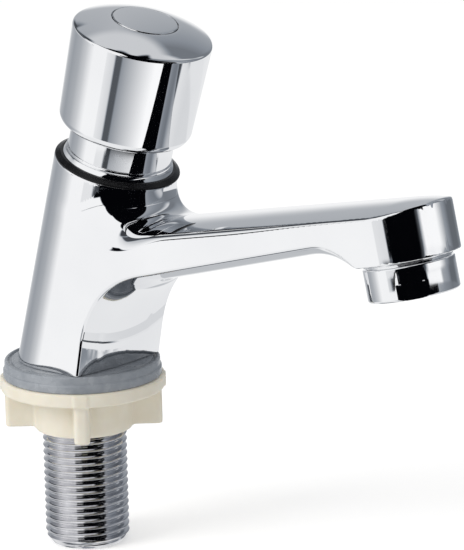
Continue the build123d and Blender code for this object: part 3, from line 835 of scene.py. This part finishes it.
def unfold(mesh, rounds=8):
    """Relaxes skin faces that the slide has turned over, and slides them back."""
    for _ in range(rounds):
        bm = bmesh.new()
        bm.from_mesh(mesh)
        bm.normal_update()
        middles = np.array([face.calc_center_median() for face in bm.faces]) / MM
        facing = (slope_of(middles) * np.array([face.normal for face in bm.faces])).sum(1)
        bm.faces.ensure_lookup_table()
        turned = [bm.faces[i] for i in np.nonzero(outside_hollows(middles) & (facing < 0.3))[0]]
        around = {vert for face in turned for corner in face.verts for edge in corner.link_edges
                  for vert in edge.verts}
        print("casting: faces turned over", len(turned))
        if turned:
            relax(bm, list(around), 4)
            bm.to_mesh(mesh)
        bm.free()
        if not turned:
            return
        slide_to_formula(mesh, 2)


def casting_mesh():
    blank = bmesh.new()
    blank.from_mesh(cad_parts["body"].data)
    bmesh.ops.remove_doubles(blank, verts=blank.verts[:], dist=1e-6)
    mesh = bpy.data.meshes.new("casting_blank")
    blank.to_mesh(mesh)
    blank.free()
    mesh.materials.clear()
    voxel = VOXEL
    mesh = worked(mesh, "REMESH", mode="VOXEL", voxel_size=voxel * MM, use_smooth_shade=True)
    slide_to_formula(mesh, 8)
    unfold(mesh)
    triangles = 2 * len(mesh.polygons)
    if triangles > SKIN_TRIANGLES:
        mesh = worked(mesh, "DECIMATE", decimate_type="COLLAPSE", ratio=SKIN_TRIANGLES / triangles)
        slide_to_formula(mesh, 4)
        unfold(mesh)
    return mesh


def light_from_formula(mesh):
    """Gives each vertex of the skin the formula's own direction, and leaves the hollows as they are."""
    points = read_points(mesh)
    mesh.polygons.foreach_set("use_smooth", [True] * len(mesh.polygons))
    normals = np.empty(len(mesh.vertices) * 3)
    mesh.vertex_normals.foreach_get("vector", normals)
    normals = normals.reshape(-1, 3)
    skin = outside_hollows(points)
    slope = slope_of(points[skin])
    normals[skin] = slope / np.linalg.norm(slope, axis=1)[:, None]
    mesh.normals_split_custom_set_from_vertices(normals.tolist())


cast_mesh = casting_mesh()
light_from_formula(cast_mesh)
cast_mesh.name = "body_casting"
cast_mesh.materials.append(polished_chrome)
body_casting = in_scene("body_casting", cast_mesh)
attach(body_casting, "tap")
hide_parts("body")
print("casting faces:", len(cast_mesh.polygons))

# %% [markdown]
# ## The spring
# The return spring is wound wire, and it is the one inner part that changes shape. It keeps the solid model's
# curls, copied and merged, in a mesh of its own.

# %% Return spring
spring = bmesh.new()
spring.from_mesh(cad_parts["return_spring"].data)
bmesh.ops.remove_doubles(spring, verts=spring.verts[:], dist=1e-6)
bmesh.ops.dissolve_limit(spring, angle_limit=radians(2), verts=spring.verts[:], edges=spring.edges[:])
spring_piece = new_piece("return_spring_wire", spring, Matrix.Identity(4), "tap", stainless_steel,
                         ["return_spring"], weighted=False)
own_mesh(spring_piece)

# %% [markdown]
# ## Inner parts
# The seals, the cartridge and the parts inside the aerator are right as the solid model has them. They stay,
# and each gets the finish that its own material slot asks for.

# %% Finishes for the inner parts
INNER_FINISHES = {
    "brass": (turned_brass, ["cartridge_head", "spindle", "cartridge_housing"]),
    "steel": (stainless_steel, ["metering_pin", "spindle_clip", "cap_screw"]),
    "rubber": (black_rubber, ["tail_o_ring", "plug_o_ring", "housing_o_ring", "spindle_o_ring",
                              "piston_lip_seal", "valve_washer", "aerator_washer"]),
    "plastic": (white_plastic, ["inlet_filter", "piston", "aerator_core"]),
    "mesh": (punched_steel, ["aerator_screen"]),
}
for finish, nodes in INNER_FINISHES.values():
    for node in nodes:
        for material_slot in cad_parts[node].material_slots:
            material_slot.material = finish
    print(finish.name, "on", len(nodes), "nodes")

# %% [markdown]
# ## The camera
# The photograph looks at the tap from in front and to its right, a little from above, with a long lens.

# %% Camera
LOOK_AZIMUTH = radians(41.947)
LOOK_HEIGHT = radians(14.102)
LOOK_ROLL = radians(-1.342)
LOOK_AT = Vector((0.02414, 0.02937, 0.02273))
PIXELS_PER_RADIAN = 4031
PHOTO_HEIGHT = 550
SENSOR_HEIGHT = 36.0


def photo_camera():
    az, el, roll = LOOK_AZIMUTH, LOOK_HEIGHT, LOOK_ROLL
    right = Vector((cos(az), sin(az), 0))
    up = Vector((-sin(az) * sin(el), cos(az) * sin(el), cos(el)))
    back = Vector((sin(az) * cos(el), -cos(az) * cos(el), sin(el)))
    turned = (right * cos(roll) + up * sin(roll), -right * sin(roll) + up * cos(roll), back)
    camera = in_scene("photo_camera", bpy.data.cameras.new("photo_camera"))
    camera.matrix_world = Matrix.Translation(LOOK_AT + back) @ Matrix(turned).transposed().to_4x4()
    camera.data.sensor_fit = "VERTICAL"
    camera.data.sensor_height = SENSOR_HEIGHT
    camera.data.lens = PIXELS_PER_RADIAN * SENSOR_HEIGHT / PHOTO_HEIGHT
    camera.data.clip_start = 0.01
    bpy.context.scene.camera = camera


photo_camera()

# %% [markdown]
# ## The studio
# A pale floor just under the tail keeps the shadow. It also glows a little for the camera alone, so it turns
# white without any more light falling on the tap. One large soft lamp from the left shapes the nut and the
# gasket.

# %% Floor and lamp
FLOOR_REACH = 3.0
FLOOR_GAP = 0.05
FLOOR_GLOW = 0.34
LAMP_WATTS = 4.0
LAMP_SIZE = 0.6
LAMP_BEARING = radians(-62)
LAMP_HEIGHT = radians(34)


def math_node(tree, operation, *inputs):
    node = tree.nodes.new("ShaderNodeMath")
    node.operation = operation
    for socket, value in zip(node.inputs, inputs):
        connect(tree, value, socket)
    return node.outputs[0]


def connect(tree, value, socket):
    """Links an output to the socket, or sets a plain number on it."""
    if isinstance(value, (int, float)):
        socket.default_value = value
    else:
        tree.links.new(value, socket)


def floor_piece():
    bm = bmesh.new()
    bmesh.ops.create_grid(bm, x_segments=8, y_segments=8, size=FLOOR_REACH)
    mesh = bpy.data.meshes.new("studio_floor")
    bm.to_mesh(mesh)
    bm.free()
    mesh.transform(Matrix.Translation((0, 0, (TAIL_FOOT - FLOOR_GAP) * MM)))
    piece = in_scene("studio_floor", mesh)
    material, tree, shader = start_finish("floor_paint")
    vary_colour(tree, object_noise(tree, 3, detail=2), shader, (0.97, 0.97, 0.97), (0.99, 0.99, 0.99))
    shader.inputs["Roughness"].default_value = 0.95
    shader.inputs["Specular IOR Level"].default_value = 0.0
    shader.inputs["Emission Color"].default_value = (1, 1, 1, 1)
    seen = tree.nodes.new("ShaderNodeLightPath").outputs["Is Camera Ray"]
    tree.links.new(math_node(tree, "MULTIPLY", seen, FLOOR_GLOW), shader.inputs["Emission Strength"])
    mesh.materials.append(material)
    piece.visible_glossy = False


def soft_lamp():
    lamp = bpy.data.lights.new("soft_lamp", "AREA")
    lamp.shape = "DISK"
    lamp.size = LAMP_SIZE
    lamp.energy = LAMP_WATTS
    lamp.color = (1.0, 0.985, 0.96)
    holder = in_scene("soft_lamp", lamp)
    turn = LOOK_AZIMUTH - pi / 2 + LAMP_BEARING
    out = Vector((cos(turn) * cos(LAMP_HEIGHT), sin(turn) * cos(LAMP_HEIGHT), sin(LAMP_HEIGHT)))
    holder.matrix_world = Matrix.Translation(out) @ out.to_track_quat("Z", "Y").to_matrix().to_4x4()
    holder.visible_glossy = False


floor_piece()
soft_lamp()

# %% [markdown]
# Chrome has no colour of its own. What looks like its surface is the room around it, so the room is drawn
# first as bands of light along the bearing, from the photographer's left at -90 degrees to the right at 90.
# A round piece mirrors only a thin ring of the room, always at the same angle to its own axis. Each of the
# four turned surfaces therefore gets a ring of its own, and the rest of the room is seen by the casting.
# Each list below is a row of light panels and boards: a level at each panel's edge, even or fading between.

# %% Bands of light
BRIGHTEST = 1.08
BLACK = 0.0
ROOM = [
    (-180, 0.95), (-172, 0.9), (-155, 0.5), (-135, 0.37), (-115, 0.45), (-100, 0.65), (-85, 1.0),
    (56, 1.0), (58, 0.4), (84, 0.27), (110, 0.2), (158, 0.25), (172, 0.85), (180, 0.95),
]
CAP_RING = [
    (-62, 0.9), (-48, 0.75), (-45, 0.1), (-36, 0.1), (-34, 0.32), (25, BRIGHTEST), (41, BRIGHTEST),
    (43, BLACK), (57, BLACK), (59, 0.25), (74, 0.07), (80, 0.07), (83, 0.84), (107, 0.75), (150, 0.75),
    (168, 1.0),
]
SLEEVE_RING = [
    (-62, 0.85), (-44, 0.85), (-41, 0.07), (-31, 0.07), (-29, 0.42), (31, 0.9), (34, BLACK), (60, BLACK),
    (64, 0.15), (98, 0.06), (102, 0.85),
]
TIP_RING = [
    (-62, 0.85), (-37, 0.8), (-35, BLACK), (32, BLACK), (38, 0.1), (46, BRIGHTEST), (80, BRIGHTEST),
    (100, 0.35), (118, 0.15), (140, 0.15), (165, 0.3), (180, 0.9),
]
AERATOR_RING = [
    (-62, 0.85), (-54, 0.6), (-50, 0.1), (-46, BLACK), (30, BLACK), (37, 0.1), (41, BRIGHTEST),
    (76, BRIGHTEST), (82, 0.4), (100, 0.3), (111, 0.15), (132, 0.15), (160, 0.45), (180, 0.9),
]
CEILING = [(-180, 0.5), (-150, 0.4), (-118, 0.7), (118, 0.7), (122, 0.2), (135, 0.2), (146, 0.3), (180, 0.5)]

# %% [markdown]
# The helpers below turn a direction into a bearing and a height, and lay soft-edged boards over the bands.

# %% Room helpers
def towards(tree, direction, vector):
    dot = tree.nodes.new("ShaderNodeVectorMath")
    dot.operation = "DOT_PRODUCT"
    tree.links.new(direction, dot.inputs[0])
    dot.inputs[1].default_value = vector
    return dot.outputs["Value"]


def above(tree, value, edge, soft):
    """0 below the edge, 1 above it, smooth between."""
    step = tree.nodes.new("ShaderNodeMapRange")
    step.interpolation_type = "SMOOTHSTEP"
    step.inputs["From Min"].default_value = edge - soft
    step.inputs["From Max"].default_value = edge + soft
    tree.links.new(value, step.inputs["Value"])
    return step.outputs["Result"]


def below(tree, value, edge, soft):
    return math_node(tree, "SUBTRACT", 1.0, above(tree, value, edge, soft))


def within(tree, value, low, high, soft):
    return both(tree, above(tree, value, low, soft), below(tree, value, high, soft))


def both(tree, first, *others):
    for other in others:
        first = math_node(tree, "MULTIPLY", first, other)
    return first


def laid_over(tree, share, under, level):
    """Lays a level over the one under it, where share is 1."""
    mix = tree.nodes.new("ShaderNodeMix")
    mix.data_type = "FLOAT"
    tree.links.new(share, mix.inputs["Factor"])
    connect(tree, under, mix.inputs["A"])
    connect(tree, level, mix.inputs["B"])
    return mix.outputs["Result"]


def banded(tree, bearing, stops):
    ramp = tree.nodes.new("ShaderNodeValToRGB")
    elements = ramp.color_ramp.elements
    while len(elements) < len(stops):
        elements.new(0.5)
    for element, (degrees, level) in zip(elements, stops):
        element.position = (degrees + 180) / 360
        element.color = (level, level, level, 1)
    place = math_node(tree, "DIVIDE", math_node(tree, "ADD", bearing, 180.0), 360.0)
    tree.links.new(place, ramp.inputs["Fac"])
    return ramp.outputs["Color"]


# %% [markdown]
# The room has a light floor, a ceiling that dims towards the back, and a tall black board in front. The board
# gives the neck its black flame, and its edge over the spout draws the thin black line along the casting.
# Patches of one level each lie on top, and the small ones stand for battens and boards around the room. A row
# gives the bearings and their soft edge, the heights and their soft edge, all in degrees, and the level. What
# belongs to a round piece's axis is given by the cosine of the angle to that axis instead.

# %% The room
SPOUT_END_UP = Vector((-sin(radians(AERATOR_LEAN)), 0, cos(radians(AERATOR_LEAN))))
FLOOR_SIDE = 76
RIGHT_FLOOR_EDGE = -0.328
RIGHT_FLOOR = 0.88
LEFT_FLOOR_EDGE = -31
LEFT_FLOOR = 0.92
CEILING_SIDE = 109
CEILING_EDGE = 8
HIGH_CEILING_EDGE = 59
HIGH_CEILING = 0.66
BOARD_LEFT = -30.0
BOARD_RIGHT = 62.0
BOARD_RIGHT_LEAN = 0.05
BOARD_FOOT = -0.3926
BOARD_STEP_BEARINGS = (-39, -25)
BOARD_STEP_HEIGHTS = (-29, -23.5)
BEND_FROM = 3.0
BEND_HEIGHT = 20.0
BEND_RATE = 0.045
RINGS_FROM = -61
CAP_SPAN = (-0.5, -0.412)
SLEEVE_SPAN = (-0.412, -0.3925)
AERATOR_SPAN = (-0.112, -0.098)
TIP_SPAN = (-0.098, -0.083)
PATCHES = [
    (-172, -118, 8, -76, -52, 4, 0.15),         # floor behind on the left
    (-150, -92, 6, 43, 66, 4, 0.05),            # high board behind on the left
    (-118, 118, 3, 69.5, 100, 1.5, BLACK),      # roof over the front
    (-200, 200, 1, 80, 100, 1, BLACK),          # straight above
    (-200, 200, 1, -100, -80, 2, 0.3),          # straight below
    (-164, -100, 3, 25, 42, 2, 0.07),           # batten behind on the left
    (-84.8, -81.2, 0.4, -6.8, 2.5, 1, BLACK),   # upright batten on the left
    (170.5, 200, 1.5, -48, -24, 3, 0.55),       # low behind the tap
    (-200, -170.5, 1.5, -48, -24, 3, 0.55),     # the same, past straight behind
    (171.5, 179.6, 0.7, -42, -37, 1.5, 0.05),   # dark line in it
]


def board_left(tree, height):
    """Bearing of the black board's left edge, which is upright low down and bends to the right above."""
    bend = math_node(tree, "MAXIMUM", math_node(tree, "SUBTRACT", height, BEND_FROM), 0.0)
    bend = math_node(tree, "MINIMUM", bend, BEND_HEIGHT)
    return math_node(tree, "MULTIPLY_ADD", math_node(tree, "POWER", bend, 2.0), BEND_RATE, BOARD_LEFT)


def room_level(tree):
    ray = tree.nodes.new("ShaderNodeTexCoord").outputs["Generated"]
    side = towards(tree, ray, (cos(LOOK_AZIMUTH), sin(LOOK_AZIMUTH), 0))
    front = towards(tree, ray, (sin(LOOK_AZIMUTH), -cos(LOOK_AZIMUTH), 0))
    bearing = math_node(tree, "DEGREES", math_node(tree, "ARCTAN2", side, front))
    off_front = math_node(tree, "ABSOLUTE", bearing)
    height = math_node(tree, "DEGREES", math_node(tree, "ARCSINE", towards(tree, ray, (0, 0, 1))))
    on_valve = towards(tree, ray, VALVE_UP)
    on_tip = towards(tree, ray, SPOUT_END_UP)

    level = banded(tree, bearing, ROOM)
    # floor and ceiling
    on_right = above(tree, bearing, FLOOR_SIDE, 4)
    right_floor = both(tree, on_right, below(tree, on_valve, RIGHT_FLOOR_EDGE, 0.006))
    level = laid_over(tree, right_floor, level, RIGHT_FLOOR)
    on_left = below(tree, bearing, FLOOR_SIDE, 4)
    left_floor = both(tree, below(tree, height, LEFT_FLOOR_EDGE, 6), on_left)
    level = laid_over(tree, left_floor, level, LEFT_FLOOR)
    behind = above(tree, off_front, CEILING_SIDE, 9)
    ceiling = both(tree, behind, above(tree, height, CEILING_EDGE, 8))
    level = laid_over(tree, ceiling, level, banded(tree, bearing, CEILING))
    high_ceiling = both(tree, behind, above(tree, height, HIGH_CEILING_EDGE, 5))
    level = laid_over(tree, high_ceiling, level, HIGH_CEILING)
    # black board in front, with a step at its left foot
    in_front = above(tree, on_valve, BOARD_FOOT, 0.0004)
    past_left = above(tree, math_node(tree, "SUBTRACT", bearing, board_left(tree, height)), 0.0, 0.9)
    leaning = math_node(tree, "SUBTRACT", bearing, math_node(tree, "MULTIPLY", height, BOARD_RIGHT_LEAN))
    before_right = below(tree, leaning, BOARD_RIGHT, 0.8)
    level = laid_over(tree, both(tree, past_left, before_right, in_front), level, BLACK)
    step = both(tree, within(tree, bearing, *BOARD_STEP_BEARINGS, 1),
                within(tree, height, *BOARD_STEP_HEIGHTS, 0.7), in_front)
    level = laid_over(tree, step, level, BLACK)
    # rings that the turned surfaces mirror
    fore = above(tree, bearing, RINGS_FROM, 1)
    for along, span, soft, stops in (
            (on_valve, CAP_SPAN, 0.003, CAP_RING), (on_valve, SLEEVE_SPAN, 0.0004, SLEEVE_RING),
            (on_tip, AERATOR_SPAN, 0.001, AERATOR_RING), (on_tip, TIP_SPAN, 0.001, TIP_RING)):
        ring = both(tree, fore, within(tree, along, *span, soft))
        level = laid_over(tree, ring, level, banded(tree, bearing, stops))
    # patches
    for left, right, side_soft, low, high, soft, grey in PATCHES:
        across_it = within(tree, bearing, left, right, side_soft)
        patch = both(tree, across_it, within(tree, height, low, high, soft))
        level = laid_over(tree, patch, level, grey)
    return level


# %% [markdown]
# Only mirrors look at the room. The camera sees plain white behind the tap, and matt surfaces get an even
# light, as from a tent. Dark bands are a little blue, as they are in the photograph.

# %% World
TENT_LIGHT = 0.62


def studio_world():
    world = bpy.data.worlds.new("studio")
    bpy.context.scene.world = world
    world.use_nodes = True
    tree = world.node_tree
    tint = tree.nodes.new("ShaderNodeValToRGB")
    tint.color_ramp.elements[0].color = (0.001, 0.0012, 0.002, 1)
    tint.color_ramp.elements[1].color = (BRIGHTEST, BRIGHTEST, BRIGHTEST, 1)
    tint.color_ramp.elements.new(0.27).color = (0.27, 0.295, 0.33, 1)
    tree.links.new(math_node(tree, "DIVIDE", room_level(tree), BRIGHTEST), tint.inputs["Fac"])
    path = tree.nodes.new("ShaderNodeLightPath")
    mirrored = math_node(tree, "MAXIMUM", path.outputs["Is Glossy Ray"], path.outputs["Is Transmission Ray"])
    light = tree.nodes.new("ShaderNodeMix")
    light.data_type = "RGBA"
    tree.links.new(mirrored, light.inputs["Factor"])
    light.inputs["A"].default_value = (TENT_LIGHT, TENT_LIGHT, TENT_LIGHT, 1)
    tree.links.new(tint.outputs["Color"], light.inputs["B"])
    shown = tree.nodes.new("ShaderNodeMix")
    shown.data_type = "RGBA"
    tree.links.new(path.outputs["Is Camera Ray"], shown.inputs["Factor"])
    tree.links.new(light.outputs["Result"], shown.inputs["A"])
    shown.inputs["B"].default_value = (1, 1, 1, 1)
    sky = tree.nodes["Background"]
    tree.links.new(shown.outputs["Result"], sky.inputs["Color"])
    sky.inputs["Strength"].default_value = 1.0


studio_world()
print("studio nodes:", len(bpy.context.scene.world.node_tree.nodes))

# %% View settings
bpy.context.scene.view_settings.view_transform = "Standard"
